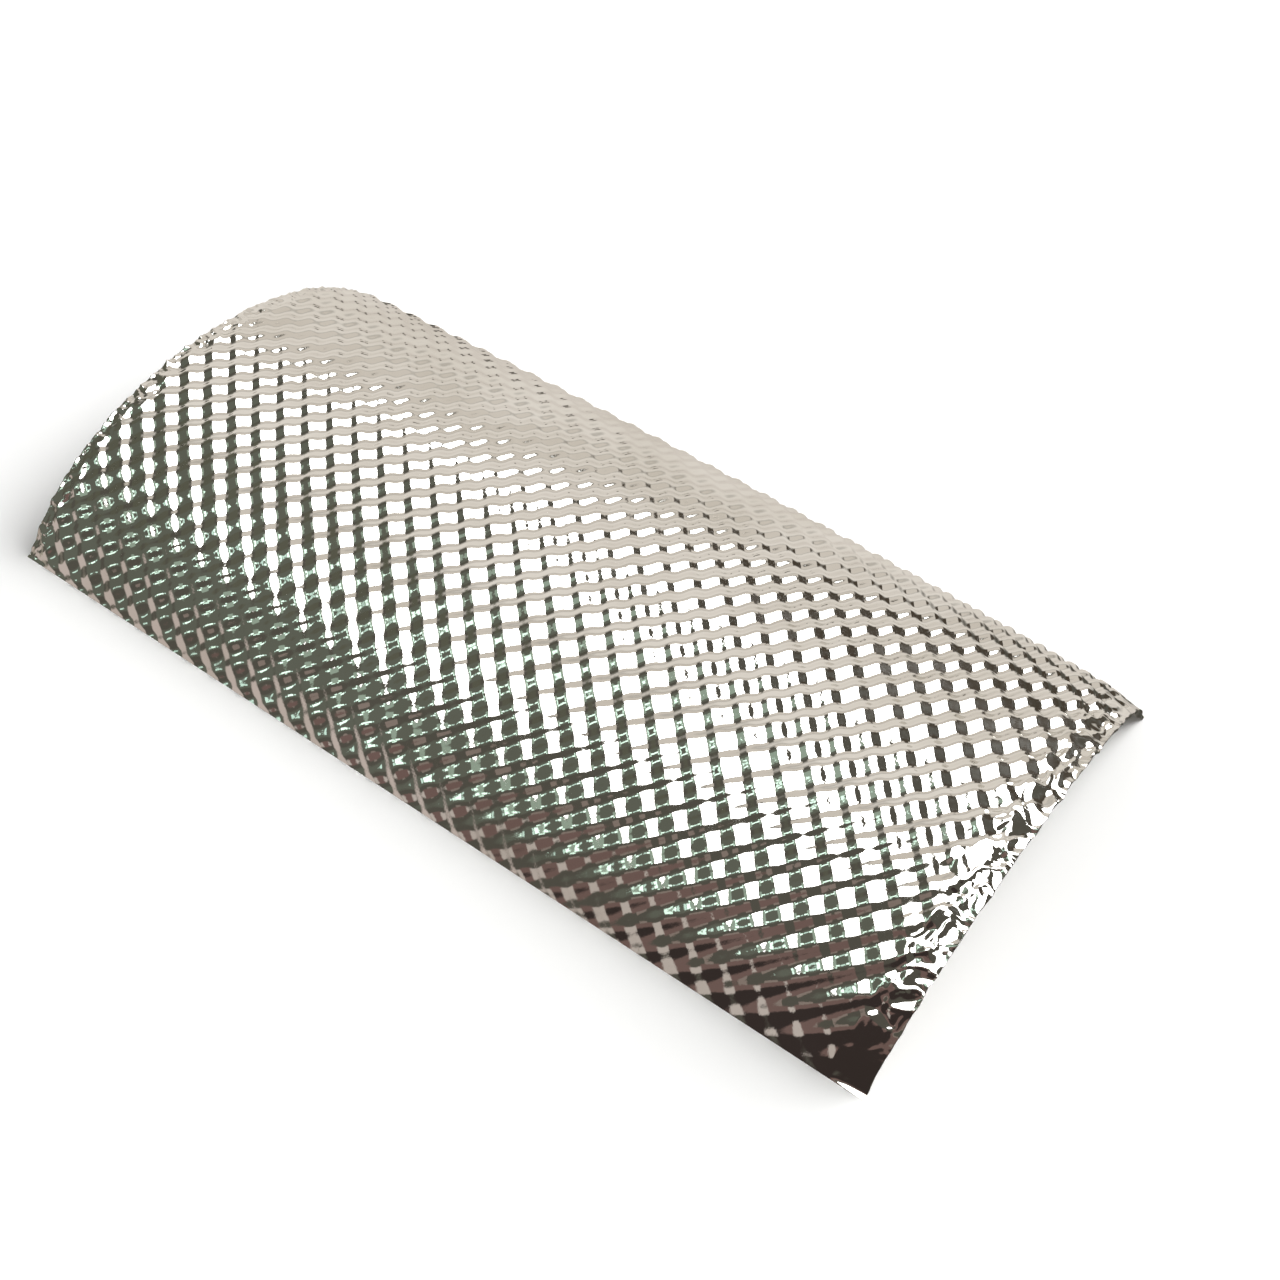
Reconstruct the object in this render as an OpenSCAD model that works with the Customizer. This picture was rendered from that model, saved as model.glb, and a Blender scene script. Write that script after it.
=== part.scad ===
// Curved, embossed heat shield that is strapped over an exhaust pipe.
// One thin metal sheet, bent to an arch along X, open at both ends.
// The origin is the middle of its footprint, on the surface that the two long edges rest on.
// X runs along the pipe, Y across it and Z up.

/* [Sheet] */
// Length of the sheet along the pipe
length = 305; // [150:1:610]
// Width of the flat sheet, from one long edge over the crest to the other
sheet_w = 179; // [120:1:240]
// Thickness of the metal
sheet_t = 0.8; // [0.5:0.1:1.5]

/* [Arch] */
// Slope of the sheet at its long edges, midway along, in degrees
edge_slope = 54; // [40:1:70]
// Extra slope at the front end, +X, where the arch is bent tighter
front_curl = 12; // [0:1:15]
// Extra slope at the rear end, -X
rear_curl = 1; // [0:1:15]
// How much flatter the crest is than an even arc, 0 for an even arc
crest_flatness = 0.3; // [0:0.01:0.6]
// How far the middle of the front end stands proud of its corners
front_bow = 3.5; // [0:0.5:8]

/* [Embossing] */
// Spacing of the raised points along the length
pitch_x = 10.4; // [8:0.1:20]
// Spacing of the raised points across the sheet
pitch_y = 10.9; // [8:0.1:20]
// Height of the raised points above the hollows
emboss_h = 1.5; // [0.4:0.1:2.4]

/* [Edges] */
// Width of the hem folded along each long edge
hem_w = 3; // [2:0.5:8]
// Thickness of the folded hem
hem_t = 1.3; // [1:0.1:3]
// Width of the band crushed flat at each end
crush_w = 11; // [6:0.5:25]
// Share of the embossing that is left at the very end of a crushed band
crush_keep = 0.2; // [0:0.05:1]
// Height of the wrinkles in the crushed bands
wrinkle_h = 0.5; // [0:0.1:1]
// Spacing of those wrinkles
wrinkle_pitch = 17; // [12:1:40]

/* [Hidden] */

// Finish of the metal
FOIL = [0.80, 0.80, 0.78];
// Narrowest strip left between the last row of points and a fold or an end
MARGIN = 1;

// Half the number of embossed rows in each direction, and the rows themselves
half_cols = floor((length / 2 - MARGIN) / (pitch_x / 2));
half_rows = floor((sheet_w / 2 - hem_w - MARGIN) / (pitch_y / 2));
last_col = half_cols + 1;
last_row = half_rows + 2;
cols = [for (i = [-last_col:last_col]) i];
rows = [for (j = [-last_row:last_row]) j];

// Place of a column along the flat sheet, and of a row across it, from the middle
function flat_x(i) = abs(i) <= half_cols ? i * pitch_x / 2 : sign(i) * length / 2;
function flat_y(j) =
    abs(j) <= half_rows ? j * pitch_y / 2
    : sign(j) * (sheet_w / 2 - (abs(j) == last_row ? 0 : hem_w));

// Smooth step from 0 to 1 as v goes from 0 to 1
function ease(v) = let (c = min(1, max(0, v))) c * c * (3 - 2 * c);

// 0 at the very end of the sheet, 1 from the inner side of the crushed band on
function uncrushed(x) = ease((length / 2 - abs(x)) / crush_w);

// Slope of the arch, in degrees, at x along and y across the flat sheet: uphill is negative
function rim_slope(x) =
    let (u = 2 * x / length)
    edge_slope + (front_curl - rear_curl) / 2 * u + (front_curl + rear_curl) / 2 * u * u;
function slope(x, y) =
    let (v = 2 * y / sheet_w)
    rim_slope(x) * v * (1 - crest_flatness + crest_flatness * v * v);

// Section of the bent sheet at x: [y, z] for each row, begun at the straight near edge
function section(x) =
    [for (k = 0, y = 0, z = 0; k < len(rows);
          step = k + 1 < len(rows) ? flat_y(rows[k + 1]) - flat_y(rows[k]) : 0,
          a = slope(x, k + 1 < len(rows) ? (flat_y(rows[k + 1]) + flat_y(rows[k])) / 2 : 0),
          y = y + step * cos(a), z = z - step * sin(a), k = k + 1)
        [y, z]];

// Height of the embossing above the middle of the sheet: raised and hollow points alternate
function emboss(i, j) =
    abs(i) > half_cols || abs(j) > half_rows ? 0
    : emboss_h / 2 * ((i + j) % 2 == 0 ? 1 : -1)
      * (crush_keep + (1 - crush_keep) * uncrushed(flat_x(i)));

// Wrinkles across the crushed bands, fading out towards the embossing and the hems
function wrinkle(i, j) =
    let (x = flat_x(i), y = flat_y(j), turn = 360 / wrinkle_pitch)
    abs(j) > half_rows ? 0
    : wrinkle_h * (1 - uncrushed(x)) * sin(turn * (y + x / 2)) * cos(turn * (y / 3 - x));

// Both long edges lie flat on the floor, so their rims are cut level
function is_rim(j) = abs(j) == last_row;
function is_hem(j) = abs(j) > half_rows;

// A point of the outer skin (side 0) or of the inner skin (side 1)
function skin_point(i, j, yz, side) =
    let (x = flat_x(i), y = flat_y(j), v = 2 * y / sheet_w, a = slope(x, y),
         bow = front_bow * max(0, 2 * x / length) * (1 - v * v),
         thick = is_hem(j) ? hem_t : sheet_t,
         out = emboss(i, j) + wrinkle(i, j) - side * thick)
    is_rim(j) ? [x, yz[0] - side * sign(j) * thick / sin(abs(a)), 0]
    : [x + bow, yz[0] + out * sin(a), yz[1] + out * cos(a)];

// All points, column by column, outer skin first
function skin(side) =
    [for (i = cols) let (s = section(flat_x(i))) for (k = [0:len(rows) - 1])
        skin_point(i, rows[k], s[k], side)];

raw = concat(skin(0), skin(1));
low = [for (c = [0:1]) min([for (p = raw) p[c]])];
high = [for (c = [0:1]) max([for (p = raw) p[c]])];
middle = [(low[0] + high[0]) / 2, (low[1] + high[1]) / 2, 0];
points = [for (p = raw) p - middle];

// Number of a point in the list
n_cols = len(cols);
n_rows = len(rows);
function at(side, c, r) = (side * n_cols + c) * n_rows + r;

// The four points of one cell, anticlockwise from above
function cell(side, c, r) =
    [at(side, c, r), at(side, c + 1, r), at(side, c + 1, r + 1), at(side, c, r + 1)];

// Two facets that meet on the ridge between the cell's two raised points
function ridge_pair(q, even) =
    even ? [[q[0], q[2], q[1]], [q[0], q[3], q[2]]]
    : [[q[0], q[3], q[1]], [q[1], q[3], q[2]]];
function turned(q) = [q[0], q[3], q[2], q[1]];

skin_facets = [for (c = [0:n_cols - 2], r = [0:n_rows - 2])
    let (even = (cols[c] + rows[r]) % 2 == 0)
    each concat(ridge_pair(cell(0, c, r), even),
                [for (f = ridge_pair(cell(1, c, r), even)) [f[0], f[2], f[1]]])];

// Strips that close the sheet along its long edges and across its two ends
edge_facets = [for (c = [0:n_cols - 2]) each [
    [at(0, c, 0), at(0, c + 1, 0), at(1, c + 1, 0), at(1, c, 0)],
    [at(0, c + 1, n_rows - 1), at(0, c, n_rows - 1), at(1, c, n_rows - 1), at(1, c + 1, n_rows - 1)]]];
end_facets = [for (r = [0:n_rows - 2]) each [
    [at(0, 0, r + 1), at(0, 0, r), at(1, 0, r), at(1, 0, r + 1)],
    [at(0, n_cols - 1, r), at(0, n_cols - 1, r + 1), at(1, n_cols - 1, r + 1), at(1, n_cols - 1, r)]]];

// The whole shield: outer skin, inner skin and the strips between them
module shield() {
    color(FOIL)
        polyhedron(points = points, faces = concat(skin_facets, edge_facets, end_facets));
}

shield();
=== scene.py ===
"""Looks of the exhaust heat shield: one thin embossed foil sheet, bent to an arch along X."""

import logging
import math
from dataclasses import dataclass, field
from enum import Enum

import bmesh
import bpy
import numpy as np
from mathutils import Matrix, Vector, noise

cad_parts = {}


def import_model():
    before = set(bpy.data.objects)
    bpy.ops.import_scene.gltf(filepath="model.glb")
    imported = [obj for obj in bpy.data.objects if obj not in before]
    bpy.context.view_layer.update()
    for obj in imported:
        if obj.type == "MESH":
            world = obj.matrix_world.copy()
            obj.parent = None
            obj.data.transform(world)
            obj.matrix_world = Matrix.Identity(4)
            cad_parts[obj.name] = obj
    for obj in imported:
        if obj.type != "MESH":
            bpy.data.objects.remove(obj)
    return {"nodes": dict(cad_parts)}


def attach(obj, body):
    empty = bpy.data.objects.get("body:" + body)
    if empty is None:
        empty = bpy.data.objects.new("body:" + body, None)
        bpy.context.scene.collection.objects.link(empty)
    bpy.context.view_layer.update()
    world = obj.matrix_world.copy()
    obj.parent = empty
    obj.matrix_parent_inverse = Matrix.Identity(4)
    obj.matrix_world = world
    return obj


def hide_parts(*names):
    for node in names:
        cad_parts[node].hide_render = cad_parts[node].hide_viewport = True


MM = 0.001
# Points of the flat sheet that are nearer than this to a plane count as on it, in millimetres
ON_PLANE = 0.01
LOG = logging.getLogger("heat_shield")
Colour = tuple[float, float, float]


def linear(colour: Colour) -> tuple[float, float, float, float]:
    """Turns a colour as seen on a screen into the light it stands for.

    Args:
        colour: Red, green and blue from 0 to 1, as a screen shows them.

    Returns:
        Linear red, green, blue and an alpha of 1.
    """
    parts = [c / 12.92 if c <= 0.04045 else ((c + 0.055) / 1.055) ** 2.4 for c in colour]
    return (parts[0], parts[1], parts[2], 1.0)


def ease(share: np.ndarray) -> np.ndarray:
    """Smooth step from 0 to 1 as share goes from 0 to 1."""
    held = np.clip(share, 0.0, 1.0)
    return held * held * (3.0 - 2.0 * held)


def put(name: str, bm: bmesh.types.BMesh) -> bpy.types.Object:
    """Turns a finished bmesh into an object at the origin.

    Args:
        name: Name of the object and of its mesh.
        bm: What it is made of, which is freed.

    Returns:
        The new object, in the scene.
    """
    mesh = bpy.data.meshes.new(name)
    bm.to_mesh(mesh)
    bm.free()
    made = bpy.data.objects.new(name, mesh)
    bpy.context.scene.collection.objects.link(made)
    return made


class Graph:
    """A node tree that is filled by short calls."""

    def __init__(self, tree: bpy.types.NodeTree) -> None:
        """Starts from an empty tree."""
        tree.nodes.clear()
        self.tree = tree

    def add(self, kind: str, **settings: object) -> bpy.types.Node:
        """Adds one node.

        Args:
            kind: The node's type name in Blender.
            settings: Attributes of the node, set as given.

        Returns:
            The new node.
        """
        node = self.tree.nodes.new(kind)
        for name, value in settings.items():
            setattr(node, name, value)
        return node

    def feed(self, socket: bpy.types.NodeSocket, value: object) -> None:
        """Links a socket to an output, or sets it to a plain value.

        Args:
            socket: The input to feed.
            value: An output socket or a constant.
        """
        if isinstance(value, bpy.types.NodeSocket):
            self.tree.links.new(value, socket)
        else:
            socket.default_value = value

    def maths(self, operation: str, *values: object, clamp: bool = False) -> bpy.types.NodeSocket:
        """One step of arithmetic.

        Args:
            operation: Name of the Math node's operation.
            values: Its inputs, sockets or numbers.
            clamp: Whether the result is held between 0 and 1.

        Returns:
            The result socket.
        """
        node = self.add("ShaderNodeMath", operation=operation, use_clamp=clamp)
        for socket, value in zip(node.inputs, values):
            self.feed(socket, value)
        return node.outputs[0]

    def vector(self, operation: str, *values: object) -> bpy.types.Node:
        """One step of vector arithmetic.

        Args:
            operation: Name of the Vector Math node's operation.
            values: Its inputs, sockets or vectors.

        Returns:
            The node, because some operations give a number and some a vector.
        """
        node = self.add("ShaderNodeVectorMath", operation=operation)
        for socket, value in zip(node.inputs, values):
            self.feed(socket, value)
        return node

    def mix(self, share: object, under: object, over: object) -> bpy.types.NodeSocket:
        """Mixes two colours.

        Args:
            share: How much of the second colour there is.
            under: The first colour.
            over: The second colour.

        Returns:
            The mixed colour's socket.
        """
        node = self.add("ShaderNodeMix", data_type="RGBA")
        for name, value in (("Factor_Float", share), ("A_Color", under), ("B_Color", over)):
            self.feed(next(s for s in node.inputs if s.identifier == name), value)
        return next(s for s in node.outputs if s.identifier == "Result_Color")


@dataclass(frozen=True)
class Patch:
    """One soft-edged panel of the room round the table.

    Places are in degrees from straight overhead: rightwards, then away from the table's front.

    Attributes:
        name: A plain name, which its shader node shows.
        centre: Place of its middle.
        half: Half its width and half its height.
        soft: Width of its soft edge.
        colour: Its colour, as a screen shows it.
        power: How many times brighter than its colour it shines.
        turn: How far it is turned about its middle, in degrees.
    """

    name: str
    centre: tuple[float, float]
    half: tuple[float, float]
    soft: float
    colour: Colour
    power: float = 1.0
    turn: float = 0.0


@dataclass
class Room:
    """What the metal mirrors: a white light box overhead, a pale sweep behind, a dim room in front.

    Attributes:
        turn: Azimuth of the camera in degrees, which the panels' places are counted from.
        reach: Radius of the dome in metres.
        facets: How many times the dome's faces are divided.
        open_air: Colour of the dome between its panels.
        patches: Its panels, each over the ones before it.
        gain: How brightly the whole dome shines.
        light_from: Direction of the soft light on the table.
        light_edges: Cosines to that direction where the light begins and where it is full.
        light_levels: Strength of the light away from that direction and in it.
    """

    turn: float
    reach: float = 0.89
    facets: int = 4
    open_air: Colour = (0.31, 0.30, 0.27)
    patches: tuple[Patch, ...] = ()
    gain: float = 1.13
    light_from: tuple[float, float, float] = (0.42, 0.74, 0.53)
    light_edges: tuple[float, float] = (0.86, 0.985)
    light_levels: tuple[float, float] = (0.48, 9.5)

    @staticmethod
    def soft_window() -> bpy.types.NodeTree:
        """Builds the group that masks one panel.

        Returns:
            A shader node group from place, centre, half size, turn and softness to a mask.
        """
        tree = bpy.data.node_groups.new("soft_window", "ShaderNodeTree")
        for name, kind in (
            ("Place", "NodeSocketVector"),
            ("Centre", "NodeSocketVector"),
            ("Half", "NodeSocketVector"),
            ("Turn", "NodeSocketFloat"),
            ("Softness", "NodeSocketFloat"),
        ):
            tree.interface.new_socket(name, in_out="INPUT", socket_type=kind)
        tree.interface.new_socket("Mask", in_out="OUTPUT", socket_type="NodeSocketFloat")
        graph = Graph(tree)
        given = graph.add("NodeGroupInput")
        off = graph.vector("SUBTRACT", given.outputs["Place"], given.outputs["Centre"])
        turned = graph.add("ShaderNodeVectorRotate", rotation_type="Z_AXIS")
        graph.feed(turned.inputs["Vector"], off.outputs[0])
        graph.feed(turned.inputs["Angle"], given.outputs["Turn"])
        off = graph.vector("ABSOLUTE", turned.outputs[0])
        off = graph.vector("SUBTRACT", off.outputs[0], given.outputs["Half"])
        off = graph.vector("MAXIMUM", off.outputs[0], (0.0, 0.0, 0.0))
        far = graph.vector("LENGTH", off.outputs[0]).outputs["Value"]
        fade = graph.add("ShaderNodeMapRange", interpolation_type="SMOOTHSTEP", clamp=True)
        graph.feed(fade.inputs["Value"], far)
        graph.feed(fade.inputs["From Max"], given.outputs["Softness"])
        graph.feed(fade.inputs["To Min"], 1.0)
        graph.feed(fade.inputs["To Max"], 0.0)
        graph.feed(graph.add("NodeGroupOutput").inputs["Mask"], fade.outputs["Result"])
        return tree

    def build(self) -> bpy.types.Object:
        """Sets the soft light on the table and builds the dome that the metal mirrors.

        Returns:
            The dome, which only glossy rays see.
        """
        self.sky()
        bm = bmesh.new()
        bmesh.ops.create_icosphere(bm, subdivisions=self.facets, radius=self.reach)
        bmesh.ops.reverse_faces(bm, faces=bm.faces)
        made = put("dome", bm)
        made.data.materials.append(self.walls())
        for ray in ("camera", "diffuse", "transmission", "volume_scatter", "shadow"):
            setattr(made, f"visible_{ray}", False)
        return made

    def sky(self) -> bpy.types.World:
        """Lights the table softly, more from behind the piece than from in front of it.

        Returns:
            The scene's new world.
        """
        world = bpy.data.worlds.new("soft_light")
        world.use_nodes = True
        graph = Graph(world.node_tree)
        spot = graph.add("ShaderNodeTexCoord").outputs["Generated"]
        toward = graph.vector("DOT_PRODUCT", spot, self.light_from).outputs["Value"]
        lobe = graph.add("ShaderNodeMapRange", interpolation_type="SMOOTHSTEP", clamp=True)
        graph.feed(lobe.inputs["Value"], toward)
        graph.feed(lobe.inputs["From Min"], self.light_edges[0])
        graph.feed(lobe.inputs["From Max"], self.light_edges[1])
        graph.feed(lobe.inputs["To Min"], self.light_levels[0])
        graph.feed(lobe.inputs["To Max"], self.light_levels[1])
        seen = graph.add("ShaderNodeLightPath").outputs["Is Camera Ray"]
        level = graph.add("ShaderNodeMix", data_type="FLOAT")
        for name, value in (("Factor_Float", seen), ("A_Float", lobe.outputs["Result"]), ("B_Float", 1.0)):
            graph.feed(next(s for s in level.inputs if s.identifier == name), value)
        light = graph.add("ShaderNodeBackground")
        light.inputs["Color"].default_value = (1.0, 1.0, 1.0, 1.0)
        graph.feed(light.inputs["Strength"], level.outputs[0])
        graph.feed(graph.add("ShaderNodeOutputWorld").inputs["Surface"], light.outputs[0])
        bpy.context.scene.world = world
        return world

    def walls(self) -> bpy.types.Material:
        """Paints the dome's panels, each over the ones before it.

        Returns:
            A material that shines in the panels' colours.
        """
        made = bpy.data.materials.new("room")
        made.use_nodes = True
        graph = Graph(made.node_tree)
        place = self.place(graph)
        window = self.soft_window()
        colour: object = linear(self.open_air)
        for patch in self.patches:
            mask = graph.add("ShaderNodeGroup", node_tree=window, label=patch.name)
            graph.feed(mask.inputs["Place"], place)
            graph.feed(mask.inputs["Centre"], (*patch.centre, 0.0))
            graph.feed(mask.inputs["Half"], (*patch.half, 0.0))
            graph.feed(mask.inputs["Softness"], patch.soft)
            graph.feed(mask.inputs["Turn"], math.radians(patch.turn))
            tone = [c * patch.power for c in linear(patch.colour)[:3]] + [1.0]
            colour = graph.mix(mask.outputs["Mask"], colour, tone)
        light = graph.add("ShaderNodeEmission")
        graph.feed(light.inputs["Color"], colour)
        light.inputs["Strength"].default_value = self.gain
        graph.feed(graph.add("ShaderNodeOutputMaterial").inputs["Surface"], light.outputs[0])
        return made

    def place(self, graph: Graph) -> bpy.types.NodeSocket:
        """Turns a point of the dome into degrees from overhead, rightwards and away from the table's front.

        Args:
            graph: The dome's node tree.

        Returns:
            The place as a vector socket, with nothing in Z.
        """
        direction = graph.vector("NORMALIZE", graph.add("ShaderNodeTexCoord").outputs["Object"])
        turned = graph.add("ShaderNodeVectorRotate", rotation_type="Z_AXIS")
        graph.feed(turned.inputs["Vector"], direction.outputs[0])
        graph.feed(turned.inputs["Angle"], -math.radians(self.turn))
        parts = graph.add("ShaderNodeSeparateXYZ")
        graph.feed(parts.inputs[0], turned.outputs[0])
        up = graph.maths("MINIMUM", graph.maths("MAXIMUM", parts.outputs["Z"], -1.0), 1.0)
        tilt = graph.maths("DEGREES", graph.maths("ARCCOSINE", up))
        flat = graph.add("ShaderNodeCombineXYZ")
        graph.feed(flat.inputs["X"], parts.outputs["X"])
        graph.feed(flat.inputs["Y"], parts.outputs["Y"])
        aim = graph.vector("NORMALIZE", flat.outputs[0])
        scaled = graph.vector("SCALE", aim.outputs[0])
        graph.feed(scaled.inputs["Scale"], tilt)
        return scaled.outputs[0]


@dataclass(frozen=True)
class Foil:
    """Bright rolled aluminium foil, a little duller on its hidden back.

    Attributes:
        colour: The clean metal.
        stained: The metal where it is a little dull.
        polish: Roughness of the clean and of the worn metal on the outer side.
        back_roughness: Roughness of the inner side.
        mottle: Clouds of dull metal to the metre.
        mottle_layers: Finer layers in those clouds.
        stain_range: Values of the clouds where the stain begins and where it is full.
        wear_range: The same for the wear that roughens the metal.
        grain: Rolling marks to the metre.
        grain_layers: Finer layers in those marks.
        scratches: Depth of the rolling marks in metres.
    """

    colour: Colour = (0.955, 0.953, 0.945)
    stained: Colour = (0.905, 0.898, 0.880)
    polish: tuple[float, float] = (0.035, 0.13)
    back_roughness: float = 0.34
    mottle: float = 34.0
    mottle_layers: float = 3.0
    stain_range: tuple[float, float] = (0.35, 0.75)
    wear_range: tuple[float, float] = (0.45, 0.8)
    grain: float = 1300.0
    grain_layers: float = 2.0
    scratches: float = 0.000012

    def material(self) -> bpy.types.Material:
        """Builds the foil's material.

        Returns:
            The material.
        """
        made = bpy.data.materials.new("foil")
        made.use_nodes = True
        graph = Graph(made.node_tree)
        place = graph.add("ShaderNodeTexCoord").outputs["Object"]
        back = graph.add("ShaderNodeAttribute", attribute_name="back").outputs["Fac"]
        cloud = self.noise(graph, place, self.mottle, self.mottle_layers)
        fine = self.noise(graph, place, self.grain, self.grain_layers)
        shader = graph.add("ShaderNodeBsdfPrincipled")
        shader.inputs["Metallic"].default_value = 1.0
        dulled = self.spread(graph, cloud, *self.stain_range)
        tone = graph.mix(dulled, linear(self.colour), linear(self.stained))
        graph.feed(shader.inputs["Base Color"], tone)
        worn = self.spread(graph, cloud, *self.wear_range)
        front = graph.maths("MULTIPLY_ADD", worn, self.polish[1] - self.polish[0], self.polish[0])
        gap = graph.maths("SUBTRACT", self.back_roughness, front)
        graph.feed(shader.inputs["Roughness"], graph.maths("MULTIPLY_ADD", gap, back, front))
        bump = graph.add("ShaderNodeBump")
        bump.inputs["Strength"].default_value = 1.0
        bump.inputs["Distance"].default_value = self.scratches
        graph.feed(bump.inputs["Height"], fine)
        graph.feed(shader.inputs["Normal"], bump.outputs["Normal"])
        graph.feed(graph.add("ShaderNodeOutputMaterial").inputs["Surface"], shader.outputs[0])
        return made

    @staticmethod
    def noise(
        graph: Graph, place: bpy.types.NodeSocket, scale: float, detail: float
    ) -> bpy.types.NodeSocket:
        """Adds one noise texture.

        Args:
            graph: The material's node tree.
            place: The coordinates it is read at.
            scale: Its features to the metre.
            detail: How many finer layers it has.

        Returns:
            The texture's factor.
        """
        node = graph.add("ShaderNodeTexNoise")
        graph.feed(node.inputs["Vector"], place)
        node.inputs["Scale"].default_value = scale
        node.inputs["Detail"].default_value = detail
        return node.outputs["Fac"]

    @staticmethod
    def spread(graph: Graph, value: object, low: float, high: float) -> bpy.types.NodeSocket:
        """Stretches part of a range to the whole of 0 to 1.

        Args:
            graph: The material's node tree.
            value: What is stretched.
            low: The value that gives 0.
            high: The value that gives 1.

        Returns:
            The stretched value, held between 0 and 1.
        """
        node = graph.add("ShaderNodeMapRange", clamp=True)
        graph.feed(node.inputs["Value"], value)
        node.inputs["From Min"].default_value = low
        node.inputs["From Max"].default_value = high
        return node.outputs["Result"]


class Pattern(Enum):
    """The random patterns of the sheet, each by the level at which the noise is cut."""

    UNEVEN = 40.0
    BAND = 31.0
    WARP_ALONG = 1.5
    WARP_ACROSS = 7.5
    LUMP = 11.0
    CREASE = 19.0
    CRINKLE = 27.0
    NOTCH = 50.0


@dataclass(frozen=True)
class End:
    """How one end of the sheet was pressed flat and crumpled, in millimetres.

    Along its width, an end runs from the near edge, -1, over the crest, 0, to the far edge, 1.

    Attributes:
        sign: 1 for the front end, -1 for the rear end.
        band: Width of the pressed band.
        margin: Strip along the cut end that is fully pressed, at the near edge and elsewhere.
        pressed: Level that the raised points are pressed to, near and far, as a share of theirs.
        lump: Height of the lumps.
        fold: Height of the sharp folds.
        grain: Spacing of the lumps.
        wander: How far the raised points are pushed aside.
        droop: How far the very end hangs down.
        ragged: How deep the cut edge is nicked.
        crumpled: Places across the end between which it is crumpled.
        calm: Share of the crumpling outside those places.
        crumple_fade: Width across the end over which the crumpling fades.
        worked: Distance from the end that is changed at all, in bands.
        band_uneven: Share by which the band's width varies.
        band_grain: Spacing of that variation.
        warp_grain: Spacing at which raised points are pushed to different sides.
        wide_margin: Place across the end where the near edge's margin is over, and its fade.
        far_press: Place across the end where the far level begins, and its fade.
        unpressed: Level past the band, as a share of the raised points' height.
        press_edge: How softly the pressed tops meet the slopes.
        crease_size: Spacing of the folds, in grains.
        crease_width: Sharpness of the folds.
        crinkle_size: Spacing of the crinkles, in grains.
        crinkle_share: Height of the crinkles, in lumps.
        crumple_reach: Distance in bands where the crumpling begins to fade, and its fade.
        notch_grain: Spacing of the nicks in the cut edge.
        notch_depth: Mean depth of the nicks and how much it varies, in ragged depths.
        whole_corner: Distance from the long edges over which the nicks fade.
    """

    sign: int
    band: float
    margin: tuple[float, float]
    pressed: tuple[float, float]
    lump: float
    fold: float
    grain: float
    wander: float
    droop: float
    ragged: float
    crumpled: tuple[float, float]
    calm: float
    crumple_fade: float = 0.3
    worked: float = 1.7
    band_uneven: float = 0.45
    band_grain: float = 10.0
    warp_grain: float = 5.0
    wide_margin: tuple[float, float] = (-0.55, 0.4)
    far_press: tuple[float, float] = (0.25, 0.3)
    unpressed: float = 1.15
    press_edge: float = 0.05
    crease_size: float = 1.25
    crease_width: float = 0.1
    crinkle_size: float = 0.45
    crinkle_share: float = 0.34
    crumple_reach: tuple[float, float] = (0.25, 0.75)
    notch_grain: float = 4.5
    notch_depth: tuple[float, float] = (0.5, 0.9)
    whole_corner: float = 6.0

    def share(self, v: np.ndarray) -> np.ndarray:
        """How much of the crumpling there is at each place across the sheet.

        Args:
            v: Places from the near edge, -1, to the far edge, 1.

        Returns:
            Shares from calm to 1.
        """
        near, far = self.crumpled
        wide = self.crumple_fade
        inside = ease((v - near + wide / 2) / wide) * (1 - ease((v - far + wide / 2) / wide))
        return self.calm + (1 - self.calm) * inside

    def edge_margin(self, v: np.ndarray) -> np.ndarray:
        """Width of the fully pressed strip at each place across the sheet."""
        until, fade = self.wide_margin
        return self.margin[1] + (self.margin[0] - self.margin[1]) * ease((until - v) / fade)

    def pressed_level(self, v: np.ndarray) -> np.ndarray:
        """Level that the raised points are pressed to at each place across the sheet."""
        start, fade = self.far_press
        return self.pressed[0] + (self.pressed[1] - self.pressed[0]) * ease((v - start) / fade)


FRONT = End(
    sign=1,
    band=15.0,
    margin=(4.5, 1.0),
    pressed=(-0.70, -0.15),
    lump=1.25,
    fold=0.50,
    grain=4.6,
    wander=2.4,
    droop=0.7,
    ragged=0.8,
    crumpled=(-0.74, 0.60),
    calm=0.08,
)
REAR = End(
    sign=-1,
    band=8.5,
    margin=(1.0, 1.0),
    pressed=(-0.30, -0.30),
    lump=0.70,
    fold=0.28,
    grain=2.8,
    wander=1.4,
    droop=0.3,
    ragged=0.6,
    crumpled=(-0.95, 0.95),
    calm=0.4,
)


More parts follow.
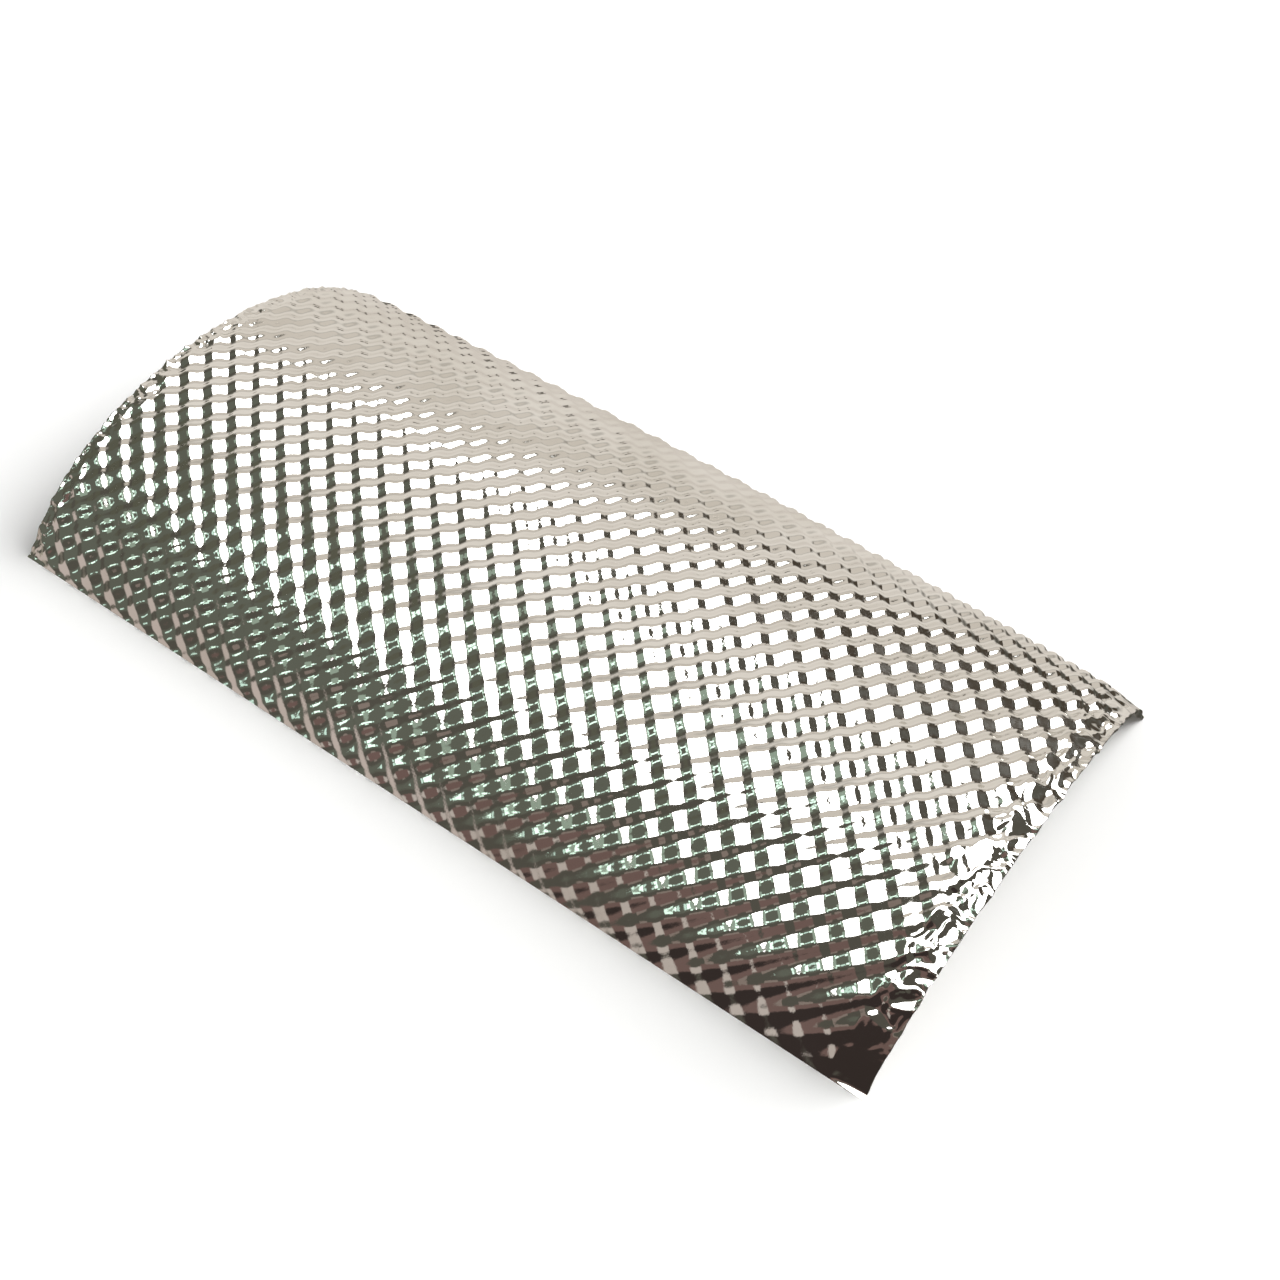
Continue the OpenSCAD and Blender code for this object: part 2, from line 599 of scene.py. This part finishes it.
@dataclass
class Shield:
    """The embossed sheet: its sizes in millimetres, its shape and its finish.

    The embossing is the sum of two waves that cross on the diagonals of the sheet.

    Attributes:
        length: Length along the pipe.
        width: Width of the flat sheet, from one long edge to the other.
        thickness: Thickness of the metal.
        rim_slope: Slope at the long edges in degrees, midway, and what the terms u and u * u add.
        flat_crest: How much flatter the crest is than an even arc.
        near_edge: Place of the near long edge in Y.
        along: Shift in X that puts the middle of the bowed sheet over the origin.
        front_bow: How far the middle of the front end stands proud of its corners.
        pitch: Spacing of the raised points along the sheet and across it.
        relief: Height of each of the two waves.
        depth: Terms of cubic() by which the embossing gets deeper.
        depth_gap: Share by which the first wave is higher than the second.
        uneven: Share by which the depth varies at random.
        uneven_grain: Spacing of that variation.
        harmonics: Weights of the tripled waves, of the product of the two, of the product of the
            doubled waves and of the doubled waves, which round the points off.
        first_peak: Place of a raised point near the middle.
        drift_a: Terms of cubic() by which the first wave drifts, in waves.
        drift_b: The same for the second wave.
        outer_steps: Faces from a raised point to the next hollow on the outer side.
        inner_steps: The same on the inner side.
        cut_slack: Points nearer than this to a cut count as on it.
        arch_cuts: Steps that the arch is added up in.
        edge_fade: Width along the long edges over which the embossing ends.
        ends: How the two ends were pressed.
        finish: The metal.
    """

    length: float = 305.0
    width: float = 179.12
    thickness: float = 0.8
    rim_slope: tuple[float, float, float] = (54.07, 5.38, 6.32)
    flat_crest: float = 0.298
    near_edge: float = -79.99
    along: float = -1.75
    front_bow: float = 3.5
    pitch: tuple[float, float] = (10.4346, 10.8896)
    relief: float = 0.47
    depth: tuple[float, ...] = (0.176, 0.12, 0.103, 0.33, -0.258, 0, 0.122, -0.065, 0.288)
    depth_gap: float = 0.019
    uneven: float = 0.04
    uneven_grain: float = 23.0
    harmonics: tuple[float, float, float, float] = (-0.0057, -0.0141, 0.0016, -0.0011)
    first_peak: tuple[float, float] = (-2.3119, 4.3428)
    drift_a: tuple[float, ...] = (0.0797, 0.0285, 0.0763, 0.1214, 0.0294, -0.1152, -0.052, 0.1071, 0.1252)
    drift_b: tuple[float, ...] = (0.2015, -0.4098, 0.1057, 0.265, -0.3434, -0.1829, -0.0659, 0.044, 0.1961)
    outer_steps: int = 6
    inner_steps: int = 2
    cut_slack: float = 0.02
    arch_cuts: int = 400
    edge_fade: float = 1.1
    ends: tuple[End, ...] = (FRONT, REAR)
    finish: Foil = field(default_factory=Foil)

    def build(self) -> bpy.types.Object:
        """Makes the piece and gives it its finish.

        Returns:
            The finished object.
        """
        bm = bmesh.new()
        self.add_skin(bm, self.outer_steps, 0.0, fine=True)
        self.add_skin(bm, self.inner_steps, -self.thickness, fine=False)
        self.close_sides(bm)
        made = put("foil_sheet", bm)
        mesh = made.data
        back = mesh.attributes.new("back", "FLOAT", "POINT")
        back.data.foreach_set("value", [min(1.0, -v.co.z / self.thickness) for v in mesh.vertices])
        self.bend(mesh)
        mesh.materials.append(self.finish.material())
        mesh.polygons.foreach_set("use_smooth", [True] * len(mesh.polygons))
        mesh.update()
        return made

    def add_skin(self, bm: bmesh.types.BMesh, steps: int, depth: float, fine: bool) -> None:
        """Adds one flat side of the sheet, cut out of a grid that is in step with the embossing.

        Args:
            bm: The mesh that the side is added to.
            steps: Faces from a raised point to the next hollow.
            depth: Its place in Z, as a distance from the outer side.
            fine: Whether the crumpled ends get smaller faces.
        """
        step = [p / 2 / steps for p in self.pitch]
        sides = (self.length, self.width)
        counts = [2 * (math.ceil(side / 2 / s) + steps) for side, s in zip(sides, step)]
        reach = Matrix.Diagonal((counts[0] * step[0] / 2, counts[1] * step[1] / 2, 1.0, 1.0))
        start = Matrix.Translation((self.first_peak[0], self.first_peak[1], depth))
        made = bmesh.ops.create_grid(
            bm, x_segments=counts[0], y_segments=counts[1], size=1.0, matrix=start @ reach
        )
        for axis in (0, 1):
            for sign in (-1, 1):
                normal = Vector((0.0, 0.0, 0.0))
                normal[axis] = sign
                verts = [v for v in bm.verts if abs(v.co.z - depth) < ON_PLANE]
                edges = {e for v in verts for e in v.link_edges}
                faces = {f for v in verts for f in v.link_faces}
                bmesh.ops.bisect_plane(
                    bm,
                    geom=[*verts, *edges, *faces],
                    dist=self.cut_slack,
                    plane_co=normal * sides[axis] / 2,
                    plane_no=normal,
                    clear_outer=True,
                )
        if fine:
            for end in self.ends:
                inner = self.length / 2 - end.band
                near = [e for e in bm.edges if all(v.co.x * end.sign > inner for v in e.verts)]
                bmesh.ops.subdivide_edges(bm, edges=near, cuts=1, use_grid_fill=True)

    def close_sides(self, bm: bmesh.types.BMesh) -> None:
        """Joins the outer and the inner side along all four edges of the sheet.

        Args:
            bm: Both flat sides, which are changed.
        """
        for face in bm.faces:
            if face.calc_center_median().z < -ON_PLANE:
                face.normal_flip()
        sides = (self.length / 2, self.width / 2)
        for axis in (0, 1):
            for sign in (-1, 1):
                open_edges = [e for e in bm.edges if e.is_boundary]
                rim = [
                    e
                    for e in open_edges
                    if all(abs(v.co[axis] * sign - sides[axis]) < ON_PLANE for v in e.verts)
                ]
                bmesh.ops.bridge_loops(bm, edges=rim)
        bmesh.ops.recalc_face_normals(bm, faces=bm.faces)

    def arch(self, along: np.ndarray, across: np.ndarray) -> tuple[np.ndarray, ...]:
        """Bends the flat sheet.

        Args:
            along: Places along the flat sheet, from its middle.
            across: Places across the flat sheet, from its middle.

        Returns:
            Place in Y, place in Z and slope in radians.
        """
        u = 2 * along / self.length
        rim = np.radians(self.rim_slope[0] + self.rim_slope[1] * u + self.rim_slope[2] * u * u)
        cuts = self.arch_cuts
        t = np.linspace(-1.0, 1.0, cuts + 1)
        middle = (t[1:] + t[:-1]) / 2
        level, order = np.unique(np.round(along, 4), return_inverse=True)
        rims = np.zeros(len(level))
        rims[order] = rim
        fall = rims[:, None] * (middle * (1 - self.flat_crest + self.flat_crest * middle**2))[None]
        run = self.width / cuts
        y = np.concatenate([np.zeros((len(level), 1)), np.cumsum(np.cos(fall) * run, 1)], 1)
        z = np.concatenate([np.zeros((len(level), 1)), np.cumsum(-np.sin(fall) * run, 1)], 1)
        spot = (2 * across / self.width + 1) / 2 * cuts
        low = np.clip(spot.astype(int), 0, cuts - 1)
        part = spot - low
        place = [g[order, low] * (1 - part) + g[order, low + 1] * part for g in (y, z)]
        v = 2 * across / self.width
        return place[0], place[1], rim * v * (1 - self.flat_crest + self.flat_crest * v * v)

    def cubic(self, along: np.ndarray, across: np.ndarray, terms: tuple[float, ...]) -> np.ndarray:
        """A smooth amount that varies over the sheet and is nothing at its middle.

        Args:
            along: Places along the flat sheet.
            across: Places across it.
            terms: Weights of the nine polynomial terms of first to third order.

        Returns:
            One amount for each place.
        """
        u, v = 2 * along / self.length, 2 * across / self.width
        powers = (u, v, u * u, u * v, v * v, u**3, u * u * v, u * v * v, v**3)
        return sum(term * power for term, power in zip(terms, powers))

    def weave(self, along: np.ndarray, across: np.ndarray) -> np.ndarray:
        """Height of the plain embossing over the middle of the sheet.

        Args:
            along: Places along the flat sheet.
            across: Places across it.

        Returns:
            Heights in millimetres, raised and hollow points alternating.
        """
        x = (along - self.first_peak[0]) / self.pitch[0]
        y = (across - self.first_peak[1]) / self.pitch[1]
        a = 2 * np.pi * (x + y - self.cubic(along, across, self.drift_a))
        b = 2 * np.pi * (x - y - self.cubic(along, across, self.drift_b))
        third, product, double_product, double = self.harmonics
        gap = self.depth_gap
        plain = self.relief * ((1 + gap) * np.cos(a) + (1 - gap) * np.cos(b))
        rounded = third * (np.cos(3 * a) + np.cos(3 * b)) + double * (np.cos(2 * a) + np.cos(2 * b))
        crossed = product * np.cos(a) * np.cos(b) + double_product * np.cos(2 * a) * np.cos(2 * b)
        return (plain + rounded + crossed) * (1 + self.cubic(along, across, self.depth))

    @staticmethod
    def rough(
        along: np.ndarray, across: np.ndarray, size: float, pattern: Pattern, side: int = 0
    ) -> np.ndarray:
        """Smooth random heights between about -1 and 1.

        Args:
            along: Places along the flat sheet.
            across: Places across it.
            size: Distance from one bump to the next, roughly.
            pattern: Which random pattern is read.
            side: The end's sign, so that the two ends differ.

        Returns:
            One height for each place.
        """
        level = pattern.value + side
        return np.array([noise.noise(Vector((x / size, y / size, level))) for x, y in zip(along, across)])

    def height(self, along: np.ndarray, across: np.ndarray) -> np.ndarray:
        """Height of the sheet over its smooth arch, with its pressed ends.

        Args:
            along: Places along the flat sheet.
            across: Places across it.

        Returns:
            Heights in millimetres.
        """
        wave = self.weave(along, across)
        wave *= 1 + self.uneven * 2 * self.rough(along, across, self.uneven_grain, Pattern.UNEVEN)
        for end in self.ends:
            inward = self.length / 2 - along * end.sign
            near = inward < end.band * end.worked
            wave[near] = self.pressed(end, along[near], across[near], inward[near])
        return wave * ease((self.width / 2 - np.abs(across)) / self.edge_fade)

    def pressed(self, end: End, x: np.ndarray, y: np.ndarray, inward: np.ndarray) -> np.ndarray:
        """Height of the sheet near an end, where its raised points were pushed aside and pressed.

        Args:
            end: The end.
            x: Places along the flat sheet.
            y: Places across it.
            inward: Their distances from the end.

        Returns:
            Heights in millimetres.
        """
        v = 2 * y / self.width
        reach = end.band * (
            1 + end.band_uneven * self.rough(x, y, end.band_grain, Pattern.BAND, end.sign)
        )
        loose = 1 - ease(inward / reach)
        push_x = self.rough(x, y, end.warp_grain, Pattern.WARP_ALONG, end.sign)
        push_y = self.rough(x, y, end.warp_grain, Pattern.WARP_ACROSS, end.sign)
        moved_x = x + end.wander * loose * push_x
        moved_y = y + end.wander * loose * push_y
        wave = self.weave(moved_x, moved_y)
        low = end.pressed_level(v)
        opened = ease((inward - end.edge_margin(v)) / reach)
        level = 2 * self.relief * (low + (end.unpressed - low) * opened)
        soft = end.press_edge
        wave = -soft * np.logaddexp(-wave / soft, -level / soft)
        start, fade = end.crumple_reach
        crumple = self.crumple(end, moved_x, moved_y)
        crumple *= end.share(v) * (1 - ease((inward - start * reach) / (fade * reach)))
        return wave + crumple - end.droop * loose * loose

    def crumple(self, end: End, x: np.ndarray, y: np.ndarray) -> np.ndarray:
        """Lumps, crinkles and sharp folds of an end.

        Args:
            end: The end.
            x: Places along the flat sheet.
            y: Places across it.

        Returns:
            Heights in millimetres.
        """
        lump = self.rough(x, y, end.grain, Pattern.LUMP, end.sign)
        crease = self.rough(x, y, end.grain * end.crease_size, Pattern.CREASE, end.sign)
        crinkle = self.rough(x, y, end.grain * end.crinkle_size, Pattern.CRINKLE, end.sign)
        folds = end.fold * np.exp(-((crease / end.crease_width) ** 2))
        return end.lump * (lump + end.crinkle_share * crinkle) + folds

    def ragged(self, along: np.ndarray, across: np.ndarray) -> np.ndarray:
        """How far each point is drawn back from a straight cut end.

        Args:
            along: Places along the flat sheet.
            across: Places across it.

        Returns:
            Distances towards the middle, with their sign in X.
        """
        back = np.zeros(len(along))
        for end in self.ends:
            inward = self.length / 2 - along * end.sign
            near = inward < end.band
            y = across[near]
            mean, swing = end.notch_depth
            notch = mean + swing * self.rough(y * 0, y, end.notch_grain, Pattern.NOTCH, end.sign)
            fade = 1 - ease(inward[near] / end.band)
            corner = ease((self.width / 2 - np.abs(y)) / end.whole_corner)
            back[near] = -end.sign * end.ragged * np.clip(notch, 0.0, 1.0) * fade * corner
        return back

    def bend(self, mesh: bpy.types.Mesh) -> None:
        """Moves every point from the flat sheet to its place in the arch.

        Args:
            mesh: The flat, doubled sheet in millimetres, which is changed.
        """
        flat = np.empty(len(mesh.vertices) * 3, np.float32)
        mesh.vertices.foreach_get("co", flat)
        flat = flat.reshape(-1, 3).astype(float)
        y, z, slope = self.arch(flat[:, 0], flat[:, 1])
        lift = self.height(flat[:, 0], flat[:, 1]) + flat[:, 2]
        u = 2 * flat[:, 0] / self.length
        v = 2 * flat[:, 1] / self.width
        bow = self.front_bow * np.maximum(0, u) * (1 - v * v)
        placed = np.stack(
            [
                flat[:, 0] + self.along + bow + self.ragged(flat[:, 0], flat[:, 1]),
                y + self.near_edge + lift * np.sin(slope),
                np.maximum(z + lift * np.cos(slope), 0.0),
            ],
            1,
        )
        mesh.vertices.foreach_set("co", (placed * MM).astype(np.float32).ravel())


@dataclass
class Camera:
    """The photograph's view, in degrees and metres.

    Attributes:
        azimuth: Where it stands, from straight in front towards the right.
        elevation: How high it stands.
        distance: How far it is from the point that it is aimed at.
        aim: That point.
        aside: How far both are then moved, rightwards and upwards in the picture.
        lens: Focal length in millimetres.
        sensor: Width of the sensor in millimetres.
        clip: Nearest and farthest distance that is seen.
    """

    azimuth: float = 36.98
    elevation: float = 48.68
    distance: float = 0.529
    aim: tuple[float, float, float] = (-0.00175, -0.00029, 0.025)
    aside: tuple[float, float] = (0.0197, -0.0212)
    lens: float = 51.5
    sensor: float = 36.0
    clip: tuple[float, float] = (0.01, 20.0)

    def build(self) -> bpy.types.Object:
        """Sets the scene's camera.

        Returns:
            The camera object.
        """
        a, e = math.radians(self.azimuth), math.radians(self.elevation)
        back = Vector((math.sin(a) * math.cos(e), -math.cos(a) * math.cos(e), math.sin(e)))
        right = Vector((math.cos(a), math.sin(a), 0.0))
        up = back.cross(right)
        data = bpy.data.cameras.new("camera")
        data.sensor_width = self.sensor
        data.lens = self.lens
        data.clip_start, data.clip_end = self.clip
        made = bpy.data.objects.new("camera", data)
        place = Vector(self.aim) + back * self.distance + right * self.aside[0] + up * self.aside[1]
        made.matrix_world = Matrix.Translation(place) @ Matrix((right, up, back)).transposed().to_4x4()
        bpy.context.scene.collection.objects.link(made)
        bpy.context.scene.camera = made
        return made


@dataclass
class Floor:
    """A plain pale table top, with its side in metres."""

    side: float = 8.0
    colour: Colour = (0.97, 0.97, 0.965)
    roughness: float = 0.9

    def build(self) -> bpy.types.Object:
        """Makes the floor.

        Returns:
            The floor object.
        """
        bm = bmesh.new()
        bmesh.ops.create_grid(bm, x_segments=2, y_segments=2, size=self.side / 2)
        made = put("floor", bm)
        material = bpy.data.materials.new("table_top")
        material.use_nodes = True
        graph = Graph(material.node_tree)
        shader = graph.add("ShaderNodeBsdfPrincipled")
        shader.inputs["Base Color"].default_value = linear(self.colour)
        shader.inputs["Roughness"].default_value = self.roughness
        shader.inputs["Specular IOR Level"].default_value = 0.0
        graph.feed(graph.add("ShaderNodeOutputMaterial").inputs["Surface"], shader.outputs[0])
        made.data.materials.append(material)
        made.visible_glossy = False
        return made


ROOM = (
    Patch("pale_sweep", (5.0, 79.0), (55.0, 17.0), 22.0, (0.85, 0.825, 0.79)),
    Patch("far_sweep", (-9.0, 123.0), (80.0, 26.0), 30.0, (0.80, 0.77, 0.735)),
    Patch("gap_in_sweep", (-5.5, 98.0), (2.0, 9.0), 2.5, (0.30, 0.28, 0.25), 1.0, -30.0),
    Patch("left_wall", (-60.0, 28.0), (9.0, 26.0), 10.0, (0.34, 0.34, 0.29)),
    Patch("dim_left", (-56.0, -2.0), (20.0, 20.0), 9.0, (0.36, 0.37, 0.33)),
    Patch("far_left", (-109.0, 17.0), (10.0, 48.0), 15.0, (0.60, 0.57, 0.52)),
    Patch("dim_right", (56.0, 34.0), (14.0, 12.0), 12.0, (0.26, 0.23, 0.19)),
    Patch("left_card", (-93.5, -28.0), (9.0, 24.0), 8.0, (0.72, 0.67, 0.64)),
    Patch("dark_front", (-28.0, -76.0), (38.0, 16.0), 8.0, (0.20, 0.17, 0.16)),
    Patch("brown_front", (-42.0, -51.0), (22.0, 5.0), 6.0, (0.42, 0.34, 0.32)),
    Patch("front_left_card", (-72.0, -55.0), (5.0, 6.0), 6.0, (0.70, 0.66, 0.63)),
    Patch("behind_light", (4.0, 42.0), (34.0, 6.0), 6.0, (0.79, 0.76, 0.72)),
    Patch("light_stand", (-34.0, -41.0), (14.0, 2.0), 3.0, (0.50, 0.45, 0.42)),
    Patch("left_of_light", (-34.0, -10.0), (6.0, 12.0), 4.0, (0.56, 0.62, 0.56)),
    Patch("light_frame", (-0.5, 2.0), (26.5, 29.5), 2.5, (0.34, 0.32, 0.28)),
    Patch("light_box", (-0.5, 2.0), (24.5, 27.0), 3.0, (1.00, 1.00, 0.99), 5.0),
    Patch("green_lamp", (-47.0, -15.0), (6.0, 2.5), 2.5, (0.88, 1.00, 0.93), 1.5),
    Patch("far_green_lamp", (-61.0, -15.0), (3.0, 2.0), 2.0, (0.80, 0.92, 0.86)),
    Patch("front_green_lamp", (-38.0, -24.0), (3.0, 1.5), 2.0, (0.88, 1.00, 0.93), 1.2),
)


def main() -> None:
    """Builds the floor, the room, the camera and the shield."""
    logging.basicConfig(level=logging.INFO, format="%(message)s")
    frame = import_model()
    LOG.info("packed part: %s", ", ".join(sorted(frame["nodes"])))
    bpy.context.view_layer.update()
    bpy.context.scene.view_settings.view_transform = "Standard"
    camera = Camera()
    LOG.info("%s: %.1f mm lens", camera.build().name, camera.lens)
    floor = Floor().build()
    LOG.info("%s: %d faces", floor.name, len(floor.data.polygons))
    room = Room(turn=camera.azimuth, patches=ROOM).build()
    LOG.info("%s: %d faces, seen by glossy rays only", room.name, len(room.data.polygons))
    sheet = Shield().build()
    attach(sheet, "root")
    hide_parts("shield")
    LOG.info("%s: %d faces", sheet.name, len(sheet.data.polygons))


if __name__ == "__main__":
    main()
